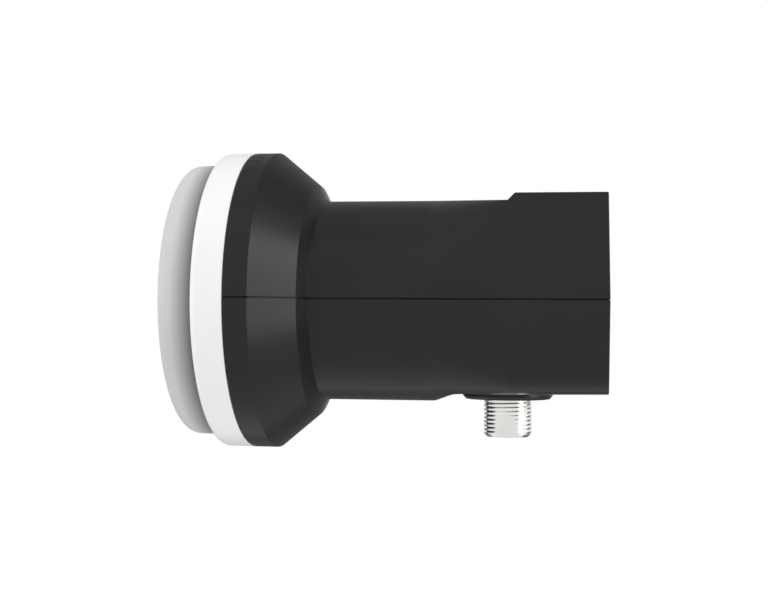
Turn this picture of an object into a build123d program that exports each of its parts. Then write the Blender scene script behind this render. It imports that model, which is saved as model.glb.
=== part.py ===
from build123d import *
import math
import os

# A satellite LNB: a corrugated feed horn, its waveguide and its converter board, cast in one chassis
# and closed in a two-part housing with a round clamp neck. All sizes are in millimetres. X runs along
# the horn's axis with the horn's mouth at -X, Z is up and the cable socket points to -Z. The origin
# is on the axis, in the middle of the clamp neck.

# Housing, outside
neck_radius = 20.0
clamp_length = 22.0
tail_length = 15.75
head_radius = 29.8
land_length = 4.6
cone_length = 7.75
foot_length = 1.85
foot_height = 3.1
foot_radius = 0.3
block_length = 18.7
block_upper_corner = 0.8
block_lower_corner = 7.0
rear_draft = 0.8
roof_depth = 1.3
plate_rise = 1.2
plate_edge = 0.4
flat_depth = 1.95
scoop_length = 5.3
side_angle = 6.0

# Housing, walls and the joint between its halves
wall = 2.0
inner_corner = 0.4
parting_gap = 0.3
lip_height = 1.5
lip_thickness = 0.9
lip_gap = 0.1
rib_thickness = 1.6
fit_gap = 0.1

# Skew scale moulded into the top of the head
tick_count = 11
tick_pitch = 5.0
tick_length = 2.9
tick_width = 0.35
tick_depth = 0.2

# Trim ring and front cap
ring_length = 6.45
ring_wall = 1.5
ring_taper = 0.1
ring_edge = 1.3
ring_lip = 1.1
ring_seam = 0.1
ring_gap = 0.15
spigot_wall = 1.8
bead_height = 0.3
bead_length = 1.0
cap_depth = 7.2
cap_draft = 1.2
cap_edge = 2.2
cap_inner_edge = 0.6
cap_dome = 0.6
cap_wall = 1.5
cap_flange_height = 0.7
cap_flange_length = 1.6

# Feed horn and waveguide
waveguide_radius = 8.75
tube_wall = 2.0
slot_count = 3
slot_depth = 6.4
fin_thickness = 1.2
rim_wall = 2.6
rim_gap = 0.2
horn_depth = 12.7
horn_gap = 0.6
cast_wall = 1.6
locating_length = 2.2
seal_groove_depth = 1.4
seal_groove_length = 1.8
seal_gap = 0.05

# Converter deck of the casting, its board and its cover
deck_skin = 1.0
deck_thickness = 3.5
deck_rear_gap = 1.2
deck_wide_gap = 1.5
bay_gap = 0.25
web_thickness = 2.5
web_depth = 8.0
board_thickness = 0.8
gasket_thickness = 0.4
cover_flange = 1.2
lid_rise = 2.4
lid_wall = 1.2
lid_side_margin = 0.4
lid_rear_margin = 2.5
lid_top_gap = 0.3
screw_radius = 1.0
screw_head_radius = 1.6
screw_head_height = 1.2
screw_reach = 3.0
screw_margin = 1.9
screw_lid_gap = 0.2
front_screw_margin = 4.3
screw_hole_gap = 0.3
screw_thread_gap = 0.05

# Probes in the waveguide
column_gap = 1.3
short_distance = 6.1
pin_distance = 5.5
probe_distance = 6.0
probe_cavity_margin = 3.0
probe_radius = 0.4
probe_reach = 5.6
probe_bend = 0.9
probe_stub = 0.4
bush_radius = 1.6
bush_gap = 0.02
riser_inset = 0.35
isolation_pin_radius = 1.0
isolation_pin_socket = 0.45

# Cable socket
connector_x = 25.4
column_radius = 7.5
collar_radius = 8.9
collar_height = 1.35
collar_edge = 0.6
thread_radius = 4.7625
thread_length = 7.5
thread_chamfer = 0.7
thread_relief = 0.45
collar_hole_gap = 0.24
socket_flange_radius = 5.6
socket_flange_length = 0.95
seal_bore_gap = 0.2
stem_radius = 4.0
stem_length = 9.0
stem_cap = 1.5
insulator_radius = 3.3
mouth_recess = 0.5
mouth_radius = 0.8
mouth_face = 1.0
contact_radius = 0.95
contact_length = 11.0
contact_bore = 0.55
contact_bore_depth = 9.0
contact_pin_radius = 0.5
contact_stub = 0.6
line_radius = 2.2

# Parts on the board: length, width and height of each body
transistor_size = (2.0, 1.25, 0.9)
converter_size = (4.0, 4.0, 0.9)
crystal_size = (3.2, 2.5, 0.7)
regulator_size = (6.5, 3.5, 1.6)
choke_radius = 1.6
choke_height = 2.0
capacitor_size = (1.6, 0.8, 0.8)
capacitor_count = 9
resistor_size = (1.6, 0.8, 0.45)
resistor_count = 7
chip_row = 7.6
lead_size = (0.4, 0.5, 0.15)

# Places along the axis that follow from the sizes
clamp_front = -clamp_length / 2
clamp_rear = clamp_length / 2
cone_end = clamp_front - foot_length
land_rear = cone_end - cone_length
head_front = land_rear - land_length
block_front = clamp_rear + tail_length
block_rear = block_front + block_length
scoop_end = clamp_rear + scoop_length
scoop_radius = (scoop_length**2 + flat_depth**2) / (2 * flat_depth)
ring_front = head_front - ring_length
cap_front = ring_front - cap_depth
flange_front = ring_front + ring_lip
spigot_front = flange_front + cap_flange_length + fit_gap
horn_front = cap_front + cap_wall + horn_gap
throat = horn_front + horn_depth

# Radii and heights that follow from the sizes
block_half_width = neck_radius
roof_z = neck_radius - roof_depth
plate_top = roof_z + plate_rise
flat_drop = neck_radius - flat_depth
floor_z = wall - flat_drop
ring_bore = head_radius - ring_wall
spigot_radius = ring_bore - fit_gap
spigot_bore = spigot_radius - spigot_wall
cap_radius = spigot_radius - cap_flange_height
cap_bore = cap_radius - cap_wall
horn_radius = cap_bore - rim_gap
tube_radius = waveguide_radius + tube_wall
cone_chord = math.atan2(head_radius - neck_radius, clamp_front - land_rear)
foot_reach = math.hypot(foot_length, foot_height - foot_radius)
foot_slope = math.atan2(foot_height - foot_radius, foot_length) + math.asin(foot_radius / foot_reach)
foot_wall = math.sqrt(foot_reach**2 - foot_radius**2)

# Places of the probes, counted back from the socket's column
tube_end = connector_x - column_radius - column_gap
backshort = tube_end - tube_wall
level_probe_x = backshort - short_distance
isolation_pin_x = level_probe_x - pin_distance
upright_probe_x = isolation_pin_x - probe_distance
riser_y = tube_radius - riser_inset

# Levels of the deck, the board and the cover
deck_z = waveguide_radius + deck_skin
deck_base = deck_z - deck_thickness
board_top = deck_z + board_thickness
gasket_top = board_top + gasket_thickness
flange_top = gasket_top + cover_flange
lid_top = flange_top + lid_rise
bay_radius = neck_radius - wall - bay_gap
lid_front = upright_probe_x - probe_cavity_margin
front_screw_x = lid_front - screw_head_radius - screw_lid_gap
deck_front = front_screw_x - screw_margin
deck_rear = block_rear - wall - deck_rear_gap
lid_rear = deck_rear - lid_rear_margin
deck_half_width = math.sqrt(bay_radius**2 - flange_top**2)
lid_half_width = deck_half_width - lid_side_margin
side_screw_y = lid_half_width + screw_head_radius + screw_lid_gap
wide_front = block_front + wall + deck_wide_gap
wide_half_width = side_screw_y + screw_margin
lid_slope = lid_half_width - math.sqrt(bay_radius**2 - lid_top**2) + lid_top_gap

# Levels of the cable socket
collar_base = -flat_drop - collar_height
socket_end = collar_base - thread_length
socket_top = floor_z + fit_gap / 2
stem_top = socket_top + stem_length
barrel_radius = thread_radius - thread_relief
seal_bore = socket_flange_radius + seal_bore_gap
seal_section = (seal_bore - barrel_radius) / 2 - seal_gap
seal_seat = socket_top - socket_flange_length - 2 * (seal_section + seal_gap)
contact_base = socket_end + mouth_recess + mouth_face
contact_top = contact_base + contact_length


def turned(points):
    """A solid turned about the horn's axis from (x, radius) points."""
    outline = Polyline(*[(x, 0, radius) for x, radius in points], close=True)
    return revolve(make_face(outline), Axis.X)


def turned_upright(points):
    """A solid turned about the cable socket's upright axis from (radius, z) points."""
    outline = Polyline(*[(connector_x + radius, 0, z) for radius, z in points], close=True)
    return revolve(make_face(outline), Axis((connector_x, 0, 0), (0, 0, 1)))


def block_between(low, high):
    """A box given by its lowest and highest corners."""
    size = [top - bottom for bottom, top in zip(low, high)]
    middle = [(top + bottom) / 2 for bottom, top in zip(low, high)]
    return Pos(*middle) * Box(*size)


def upright(x, y, low, high, radius):
    """An upright round bar between two heights."""
    return Pos(x, y, (low + high) / 2) * Cylinder(radius, high - low)


def round_body(inset):
    """Head, cone and neck of the housing, turned about the axis and moved inwards by inset."""
    shift = inset * math.tan(cone_chord / 2)
    front = head_front + inset
    neck = neck_radius - inset
    head = head_radius - inset
    foot = (clamp_front - shift, 0, neck)
    land = Polyline((front, 0, 0), (front, 0, head), (land_rear - shift, 0, head))
    if inset:
        cone = Line(land @ 1, foot)
    else:
        crease = Vector(cone_end, 0, neck + foot_height)
        step = Vector(math.cos(foot_slope), 0, -math.sin(foot_slope)) * foot_wall
        steep = Line(crease, crease + step)
        cone = Line(land @ 1, crease) + steep + TangentArc(steep @ 1, foot, tangent=steep % 1)
    rear = Polyline(foot, (clamp_rear, 0, neck), (clamp_rear, 0, 0), (front, 0, 0))
    return revolve(make_face(land + cone + rear), Axis.X)


def neck_section(inset):
    """The neck's circle at its rear end, as a narrow arc on each side and a wide one at each corner."""
    radius = neck_radius - inset
    ends = [quarter + side for quarter in (0, 90, 180, 270) for side in (-side_angle, side_angle)]
    edges = []
    for first, last in zip(ends, ends[1:] + [360 - side_angle]):
        angles = [math.radians(a) for a in (first, (first + last) / 2, last)]
        edges.append(ThreePointArc(*[(clamp_rear, radius * math.cos(a), radius * math.sin(a)) for a in angles]))
    return Wire(edges)


def block_section(x, inset):
    """The rear block's outline at x: a rectangle with tighter corners at the top than below."""
    half = block_half_width - inset
    top = roof_z - inset
    base = inset - flat_drop
    upper = max(block_upper_corner - inset, inner_corner)
    corners = [
        (half, top, upper, 1, 1),
        (-half, top, upper, -1, 1),
        (-half, base, block_lower_corner - inset, -1, -1),
        (half, base, block_lower_corner - inset, 1, -1),
    ]
    arcs = []
    for y, z, radius, y_way, z_way in corners:
        middle_y = y - y_way * radius
        middle_z = z - z_way * radius
        slant = radius * math.sqrt(0.5)
        on_side = (x, y, middle_z)
        on_level = (x, middle_y, z)
        between = (x, middle_y + y_way * slant, middle_z + z_way * slant)
        ends = (on_side, on_level) if y_way == z_way else (on_level, on_side)
        arcs.append(ThreePointArc(ends[0], between, ends[1]))
    edges = []
    for i, arc in enumerate(arcs):
        edges += [Line(arcs[i - 1] @ 1, arc @ 0), arc]
    return Wire(edges)


def tail(inset):
    """The stretch behind the clamp, which goes from the neck's circle to the block's outline."""
    return Solid.make_loft([neck_section(inset), block_section(block_front, inset)], ruled=True)


def underside(inset):
    """What the flat underside and the scoop that leads to it take off the tail."""
    scoop_z = -flat_drop - scoop_radius
    scoop = Pos(scoop_end, 0, scoop_z) * Rot(90, 0, 0) * Cylinder(scoop_radius + inset, 2 * head_radius)
    low = (scoop_end, -head_radius, -2 * head_radius)
    return scoop + block_between(low, (block_front, head_radius, inset - flat_drop))


def top_plate(inset):
    """The sharp-edged plate on the block's roof, sloped at its front end."""
    half = block_half_width - inset
    top = plate_top - inset
    base = top - 2 * plate_rise
    front = block_front + inset
    slope = Plane.XZ * make_face(Polyline(
        (front, base), (block_rear, base), (block_rear, top), (front + plate_rise, top), (front, top - plate_rise),
        close=True,
    ))
    plate = extrude(slope, half, both=True)
    if inset:
        return plate
    return fillet(plate.faces().sort_by(Axis.Z)[-1].edges().filter_by(Axis.X), plate_edge)


def rear_block(inset):
    """The rear end and its top plate, with drafted rear walls, moved inwards by inset."""
    half = block_half_width - inset
    top = plate_top - inset
    base = inset - flat_drop
    rear = block_rear - inset
    lean = math.tan(math.radians(rear_draft))
    form = extrude(Face(block_section(block_front, inset)), block_rear - block_front, dir=(1, 0, 0))
    side = Plane.XZ * make_face(Polyline(
        (block_front, base), (rear + base * lean, base), (rear, 0), (rear - top * lean, top), (block_front, top),
        close=True,
    ))
    return (form + top_plate(inset)) & extrude(side, half, both=True)


def housing(inset):
    """The closed form of the housing with every face moved inwards by inset."""
    return round_body(inset) + (tail(inset) - underside(inset)) + rear_block(inset)


def layer(low, high):
    """A slab between two heights that covers the whole housing."""
    reach = 2 * head_radius
    return block_between((ring_front, -reach, low), (block_rear + wall, reach, high))


def saddle(x):
    """A rib across the lower half that carries the waveguide tube."""
    rib = Pos(x, 0, 0) * Rot(0, 90, 0) * Cylinder(neck_radius - wall / 2, rib_thickness)
    bore = Pos(x, 0, 0) * Rot(0, 90, 0) * Cylinder(tube_radius + fit_gap, 2 * rib_thickness)
    return (rib - bore) & layer(-neck_radius, -fit_gap - parting_gap) & housing(wall / 2)


def hold_down(x):
    """A rib under the roof of the upper half that keeps the casting's cover down."""
    half = lid_half_width - lid_slope
    low = (x - rib_thickness / 2, -half, lid_top + fit_gap)
    return block_between(low, (x + rib_thickness / 2, half, neck_radius)) & housing(wall / 2)


def skew_ticks():
    """The row of shallow grooves in the head's land, spread evenly about its top."""
    groove = block_between(
        (head_front, -tick_width / 2, head_radius - tick_depth),
        (head_front + tick_length, tick_width / 2, head_radius + tick_depth),
    )
    first = -tick_pitch * (tick_count - 1) / 2
    return [Rot(first + tick_pitch * i, 0, 0) * groove for i in range(tick_count)]


def housing_wall():
    """Both halves of the housing in one, with the spigot that the trim ring snaps over."""
    bead_middle = (spigot_front + head_front) / 2
    spigot = turned([
        (spigot_front, spigot_bore),
        (spigot_front, spigot_radius),
        (bead_middle - bead_length / 2, spigot_radius),
        (bead_middle, spigot_radius + bead_height),
        (bead_middle + bead_length / 2, spigot_radius),
        (head_front + wall, spigot_radius),
        (head_front + wall, spigot_bore),
    ])
    mouth = turned([
        (spigot_front, 0), (spigot_front, spigot_bore), (head_front + 2 * wall, spigot_bore), (head_front + 2 * wall, 0),
    ])
    return housing(0) - housing(wall) + spigot - mouth


def halves():
    """The upper and lower halves, lapped along the parting line."""
    shell = housing_wall()
    mouth = turned([
        (head_front, 0), (head_front, spigot_bore), (head_front + 2 * wall, spigot_bore), (head_front + 2 * wall, 0),
    ])
    upper = shell & layer(parting_gap / 2, 2 * head_radius)
    rebate = housing(wall - lip_thickness - lip_gap) & layer(0, lip_height + lip_gap)
    upper = upper - rebate + hold_down(level_probe_x) + hold_down((wide_front + deck_rear) / 2)
    upper = upper - skew_ticks()
    lower = shell & layer(-2 * head_radius, -parting_gap / 2)
    tongue = housing(wall - lip_thickness) - housing(wall) - mouth
    lower = lower + (tongue & layer(-wall, lip_height))
    lower = lower + saddle(upright_probe_x) + saddle(level_probe_x)
    collar = turned_upright([
        (0, floor_z),
        (collar_radius, floor_z),
        (collar_radius, collar_base + collar_edge),
        (collar_radius - collar_edge, collar_base),
        (0, collar_base),
    ])
    hole = turned_upright([
        (0, floor_z + wall),
        (seal_bore, floor_z + wall),
        (seal_bore, seal_seat),
        (thread_radius + collar_hole_gap, seal_seat),
        (thread_radius + collar_hole_gap, collar_base - wall),
        (0, collar_base - wall),
    ])
    return upper, lower + collar - hole


def trim_ring():
    """The white ring that snaps over the spigot, traps the cap and keeps the halves together."""
    bead_middle = (spigot_front + head_front) / 2
    lip_bore = cap_radius + ring_gap
    ring = turned([
        (ring_front, lip_bore),
        (ring_front, head_radius - ring_taper),
        (head_front - ring_seam, head_radius),
        (head_front - ring_seam, ring_bore),
        (bead_middle + bead_length / 2 + fit_gap, ring_bore),
        (bead_middle, ring_bore + bead_height),
        (bead_middle - bead_length / 2 - fit_gap, ring_bore),
        (flange_front, ring_bore),
        (flange_front, lip_bore),
    ])
    front_edge = ring.faces().sort_by(Axis.X)[0].edges().sort_by(SortBy.RADIUS)[-1]
    return fillet(front_edge, ring_edge)


def domed_drum(front, rear, front_radius, rear_radius, edge):
    """A solid drum turned about the axis, with a domed front and a rounded front edge."""
    inner = 1 - math.sqrt(0.5)
    side = Polyline((front, 0, 0), (rear, 0, 0), (rear, 0, rear_radius), (front + edge, 0, front_radius))
    corner = (front + edge * inner, 0, front_radius - edge * inner)
    face_edge = (front, 0, front_radius - edge)
    pole = (front - cap_dome, 0, 0)
    sphere = (face_edge[2] ** 2 + cap_dome**2) / (2 * cap_dome)
    half_way = (front - cap_dome + sphere - math.sqrt(sphere**2 - face_edge[2] ** 2 / 4), 0, face_edge[2] / 2)
    dome = ThreePointArc(side @ 1, corner, face_edge) + ThreePointArc(face_edge, half_way, pole)
    return revolve(make_face(side + dome + Line(pole, side @ 0)), Axis.X)


def front_cap():
    """The drum-shaped weather cap, slightly domed, with the flange that the trim ring traps."""
    flange_rear = flange_front + cap_flange_length
    edge_radius = cap_radius - cap_depth * math.tan(math.radians(cap_draft))
    drum = domed_drum(cap_front, flange_rear, edge_radius, cap_radius, cap_edge)
    hollow = domed_drum(cap_front + cap_wall, flange_rear + wall, cap_bore, cap_bore, cap_inner_edge)
    flange = turned([(flange_front, 0), (flange_front, spigot_radius), (flange_rear, spigot_radius), (flange_rear, 0)])
    return drum + flange - hollow


def horn_outline():
    """Section of the horn and its waveguide, from the waveguide's mouth round to its closed end."""
    rim_bore = horn_radius - rim_wall
    pitch = (rim_bore - waveguide_radius) / slot_count
    step = horn_depth / slot_count
    points = []
    for i in range(slot_count):
        fin = waveguide_radius + pitch * i
        top = throat - step * i
        points += [
            (top, fin),
            (top, fin + fin_thickness),
            (top + slot_depth, fin + fin_thickness),
            (top + slot_depth, fin + pitch),
        ]
    back = horn_front + step + slot_depth + cast_wall
    back_radius = rim_bore + cast_wall
    groove_middle = (horn_front + spigot_front) / 2
    groove_base = horn_radius - seal_groove_depth
    locating = spigot_front + fit_gap
    points += [
        (horn_front, rim_bore),
        (horn_front, horn_radius),
        (groove_middle - seal_groove_length / 2, horn_radius),
        (groove_middle - seal_groove_length / 2, groove_base),
        (groove_middle + seal_groove_length / 2, groove_base),
        (groove_middle + seal_groove_length / 2, horn_radius),
        (locating, horn_radius),
        (locating, spigot_bore - fit_gap),
        (locating + locating_length, spigot_bore - fit_gap),
        (locating + locating_length, back_radius),
        (back, back_radius),
        (back + (back_radius - tube_radius) * step / pitch, tube_radius),
        (tube_end, tube_radius),
        (tube_end, 0),
        (backshort, 0),
        (backshort, waveguide_radius),
    ]
    return points


def deck_plan(inset):
    """Outline of the deck seen from above: narrow in the neck, wide in the rear block."""
    narrow = Pos((deck_front + deck_rear) / 2, 0) * Rectangle(
        deck_rear - deck_front - 2 * inset, 2 * (deck_half_width - inset)
    )
    wide = Pos((wide_front + deck_rear) / 2, 0) * Rectangle(
        deck_rear - wide_front - 2 * inset, 2 * (wide_half_width - inset)
    )
    return narrow + wide


def deck_layer(inset, low, high):
    """A plate of the deck's outline between two heights."""
    return extrude(Pos(0, 0, low) * deck_plan(inset), high - low)


def screw_places():
    """Where the cover's screws go: two at the deck's front and four on its wide part."""
    columns = [
        (front_screw_x, deck_half_width - front_screw_margin),
        (wide_front + screw_margin, side_screw_y),
        (deck_rear - screw_margin, side_screw_y),
    ]
    return [(x, side * y) for x, y in columns for side in (-1, 1)]


def screw_holes(radius, low, high):
    """The cover screws' holes through one layer."""
    return [upright(x, y, low, high, radius) for x, y in screw_places()]


def horn_casting():
    """Horn, waveguide, converter deck and socket column, cast in one piece."""
    reach = 2 * head_radius
    column = upright(connector_x, 0, socket_top, deck_base + cast_wall, column_radius)
    web = block_between(
        (tube_end - cast_wall, -web_thickness / 2, deck_base - web_depth),
        (deck_rear - cast_wall, web_thickness / 2, deck_base + cast_wall),
    )
    bore = turned([(throat, 0), (throat, waveguide_radius), (backshort, waveguide_radius), (backshort, 0)])
    casting = turned(horn_outline()) + deck_layer(0, deck_base, deck_z) + column + web - bore
    casting -= block_between((deck_front, -reach, deck_z), (deck_rear, reach, reach))
    casting -= turned_upright([
        (0, socket_top - wall),
        (stem_radius + bush_gap, socket_top - wall),
        (stem_radius + bush_gap, stem_top + fit_gap),
        (line_radius, stem_top + fit_gap),
        (line_radius, deck_z + wall),
        (0, deck_z + wall),
    ])
    casting -= screw_holes(screw_radius + screw_thread_gap, deck_base - wall, deck_z + wall)
    casting -= upright(upright_probe_x, 0, 0, deck_z + wall, bush_radius + bush_gap)
    side_hole = Cylinder(bush_radius + bush_gap, 4 * tube_wall)
    casting -= Pos(level_probe_x, waveguide_radius, 0) * Rot(90, 0, 0) * side_hole
    riser_gap = 2 * probe_radius
    casting -= block_between(
        (level_probe_x - riser_gap, riser_y - riser_gap, -riser_gap),
        (level_probe_x + riser_gap, riser_y + riser_gap, deck_z + wall),
    )
    pin_top = waveguide_radius + isolation_pin_socket
    casting -= upright(isolation_pin_x, 0, -reach, pin_top, isolation_pin_radius + bush_gap)
    return casting


def ring_seal(x):
    """Round rubber cord in the horn rim's groove, under the cap's skirt."""
    inner = horn_radius - seal_groove_depth + seal_gap
    outer = cap_bore - seal_gap
    section = Plane.XZ * (Pos(x, (inner + outer) / 2) * Circle((outer - inner) / 2))
    return revolve(section, Axis.X)


def socket_seal():
    """Round rubber cord between the socket's flange and the collar of the lower half."""
    middle = (seal_bore + barrel_radius) / 2
    height = seal_seat + seal_section + seal_gap
    section = Plane.XZ * (Pos(connector_x + middle, height) * Circle(seal_section))
    return revolve(section, Axis((connector_x, 0, 0), (0, 0, 1)))


def level_probe():
    """Bent wire from the waveguide's side, out through its bush and up to the board."""
    tip = waveguide_radius - probe_reach
    route = FilletPolyline(
        (level_probe_x, tip, 0), (level_probe_x, riser_y, 0), (level_probe_x, riser_y, board_top + probe_stub),
        radius=probe_bend,
    )
    return sweep(Plane(route @ 0, z_dir=route % 0) * Circle(probe_radius), route)


def probe_bushes():
    """Two plastic bushes that centre the probes in the waveguide's wall."""
    hole = probe_radius + bush_gap
    top = upright(upright_probe_x, 0, waveguide_radius, deck_z, bush_radius)
    top -= upright(upright_probe_x, 0, 0, deck_z + wall, hole)
    channel = riser_y - 2 * probe_radius
    turn = Pos(level_probe_x, (channel + waveguide_radius) / 2, 0) * Rot(90, 0, 0)
    side = turn * Cylinder(bush_radius, channel - waveguide_radius) - turn * Cylinder(hole, 2 * tube_radius)
    return [top, side]


def circuit_board():
    """The converter board on the deck, with holes for the screws, the probes and the contact."""
    board = deck_layer(fit_gap, deck_z, board_top)
    board -= screw_holes(screw_radius + screw_hole_gap, deck_z - wall, board_top + wall)
    board -= upright(upright_probe_x, 0, deck_z - wall, board_top + wall, probe_radius + seal_gap)
    board -= upright(level_probe_x, riser_y, deck_z - wall, board_top + wall, probe_radius + seal_gap)
    board -= upright(connector_x, 0, deck_z - wall, board_top + wall, contact_pin_radius + seal_gap)
    return board


def lid_form(margin, base, top, slope):
    """A hipped form over the board: a rectangle that narrows by slope on each side from base to top."""
    length = lid_rear - lid_front - 2 * margin
    width = 2 * (lid_half_width - margin)
    middle = (lid_front + lid_rear) / 2
    low = Pos(middle, 0, base) * Rectangle(length, width)
    high = Pos(middle, 0, top) * Rectangle(length - 2 * slope, width - 2 * slope)
    return loft([low, high])


def shield_cover():
    """The cast cover over the board: a flange of the deck's outline and a hollow hipped lid."""
    hollow_top = lid_top - lid_wall
    hollow_slope = lid_slope * (hollow_top - flange_top) / lid_rise
    cover = deck_layer(fit_gap, gasket_top, flange_top) + lid_form(0, flange_top, lid_top, lid_slope)
    cover -= lid_form(lid_wall, gasket_top - wall, flange_top, 0)
    cover -= lid_form(lid_wall, flange_top, hollow_top, hollow_slope)
    return cover - screw_holes(screw_radius + screw_hole_gap, gasket_top - wall, flange_top + wall)


def cover_gasket():
    """The flat gasket under the cover's flange, cut clear of the level probe's upper end."""
    gasket = deck_layer(fit_gap, board_top, gasket_top)
    gasket -= lid_form(lid_wall, board_top - wall, gasket_top + wall, 0)
    gasket -= upright(level_probe_x, riser_y, board_top - wall, gasket_top + wall, 2 * probe_radius)
    return gasket - screw_holes(screw_radius + screw_hole_gap, board_top - wall, gasket_top + wall)


def cover_screws():
    """Pan-head screws, each with a slot across its head."""
    screws = []
    for x, y in screw_places():
        screw = upright(x, y, deck_z - screw_reach, flange_top + screw_head_height / 2, screw_radius)
        head = upright(x, y, flange_top, flange_top + screw_head_height, screw_head_radius)
        slot_low = (x - screw_head_radius, y - screw_head_height / 4, flange_top + screw_head_height / 2)
        slot_high = (x + screw_head_radius, y + screw_head_height / 4, flange_top + 2 * screw_head_height)
        screws.append(screw + head - block_between(slot_low, slot_high))
    return screws


def connector_body():
    """The turned barrel of the cable socket, with its stem in the casting's column."""
    bore = insulator_radius + bush_gap
    shelf = stem_top - stem_cap
    flange_base = socket_top - socket_flange_length
    return turned_upright([
        (bore, socket_end),
        (thread_radius - thread_chamfer, socket_end),
        (thread_radius, socket_end + thread_chamfer),
        (thread_radius, collar_base),
        (barrel_radius, collar_base),
        (barrel_radius, flange_base),
        (socket_flange_radius, flange_base),
        (socket_flange_radius, socket_top),
        (stem_radius, socket_top),
        (stem_radius, stem_top),
        (contact_radius + bush_gap, stem_top),
        (contact_radius + bush_gap, shelf),
        (bore, shelf),
    ])


def connector_insulator():
    """The plastic core of the socket, recessed in the barrel's mouth."""
    hole = contact_radius + bush_gap
    face = socket_end + mouth_recess
    return turned_upright([
        (mouth_radius, face),
        (insulator_radius, face),
        (insulator_radius, stem_top - stem_cap),
        (hole, stem_top - stem_cap),
        (hole, contact_base),
        (mouth_radius, contact_base),
    ])


def connector_contact():
    """The centre contact: a bored socket below and a pin that goes up to the board."""
    return turned_upright([
        (0, contact_base + contact_bore_depth),
        (contact_bore, contact_base + contact_bore_depth),
        (contact_bore, contact_base),
        (contact_radius, contact_base),
        (contact_radius, contact_top),
        (contact_pin_radius, contact_top),
        (contact_pin_radius, board_top + contact_stub),
        (0, board_top + contact_stub),
    ])


def chip(x, y, size):
    """A plain chip body that stands on the board."""
    length, width, height = size
    return Pos(x, y, board_top + height / 2) * Box(length, width, height)


def leaded_chip(x, y, size, places):
    """A chip body with flat leads at the given places along both long sides."""
    length, width, height = size
    lead_length, lead_reach, lead_height = lead_size
    body = chip(x, y, size)
    for place in places:
        body += Pos(x + place * length, y, board_top + lead_height / 2) * Box(
            lead_length, width + 2 * lead_reach, lead_height
        )
    return body


def chip_line(count, y, size):
    """Like chips in a row along the board."""
    first = lid_front + 2 * lid_wall + size[0]
    last = lid_rear - 2 * lid_wall - size[0]
    return [chip(first + (last - first) * i / (count - 1), y, size) for i in range(count)]


def lna_transistors():
    """The low-noise transistors: one beside each probe and one for the second stage."""
    places = [
        (upright_probe_x + 1.5 * transistor_size[0], 0),
        (level_probe_x, riser_y - 2.5 * transistor_size[1] - chip_row / 4),
        (level_probe_x + 2 * transistor_size[0], -chip_row / 4),
    ]
    return [leaded_chip(x, y, transistor_size, (-0.35, 0.35)) for x, y in places]


def supply_choke():
    """The wound choke in the supply line: a drum between two end plates."""
    x = connector_x + 2 * choke_radius + contact_pin_radius
    y = chip_row / 2
    plate = choke_height / 5
    drum = upright(x, y, board_top, board_top + choke_height, choke_radius * 0.8)
    drum += upright(x, y, board_top, board_top + plate, choke_radius)
    return drum + upright(x, y, board_top + choke_height - plate, board_top + choke_height, choke_radius)


upper_shell, lower_shell = halves()
converter_x = (level_probe_x + connector_x) / 2 + transistor_size[0]
regulator_x = connector_x + regulator_size[0] / 2 + regulator_size[1]

nodes = {
    "front_cap": front_cap(),
    "cap_seal": ring_seal((horn_front + spigot_front) / 2),
    "trim_ring": trim_ring(),
    "upper_shell": upper_shell,
    "lower_shell": lower_shell,
    "horn_casting": horn_casting(),
    "isolation_pin": upright(
        isolation_pin_x, 0, -tube_radius + fit_gap, waveguide_radius + isolation_pin_socket, isolation_pin_radius
    ),
    "upright_probe": upright(
        upright_probe_x, 0, waveguide_radius - probe_reach, board_top + probe_stub, probe_radius
    ),
    "level_probe": level_probe(),
    "probe_bushes": Compound(probe_bushes()),
    "circuit_board": circuit_board(),
    "lna_transistors": Compound(lna_transistors()),
    "converter_chip": chip(converter_x, -chip_row / 4, converter_size),
    "reference_crystal": chip(converter_x, chip_row / 2, crystal_size),
    "voltage_regulator": leaded_chip(regulator_x, -chip_row / 3, regulator_size, (-0.35, 0, 0.35)),
    "supply_choke": supply_choke(),
    "chip_capacitors": Compound(chip_line(capacitor_count, -chip_row, capacitor_size)),
    "chip_resistors": Compound(chip_line(resistor_count, chip_row, resistor_size)),
    "shield_cover": shield_cover(),
    "cover_gasket": cover_gasket(),
    "cover_screws": Compound(cover_screws()),
    "connector_body": connector_body(),
    "connector_insulator": connector_insulator(),
    "connector_contact": connector_contact(),
    "connector_seal": socket_seal(),
}

os.makedirs("parts", exist_ok=True)
for name, shape in nodes.items():
    export_step(shape, f"parts/{name}.step")
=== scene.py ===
import math

import bmesh
import bpy
import numpy as np
from mathutils import Matrix, Vector


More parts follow.
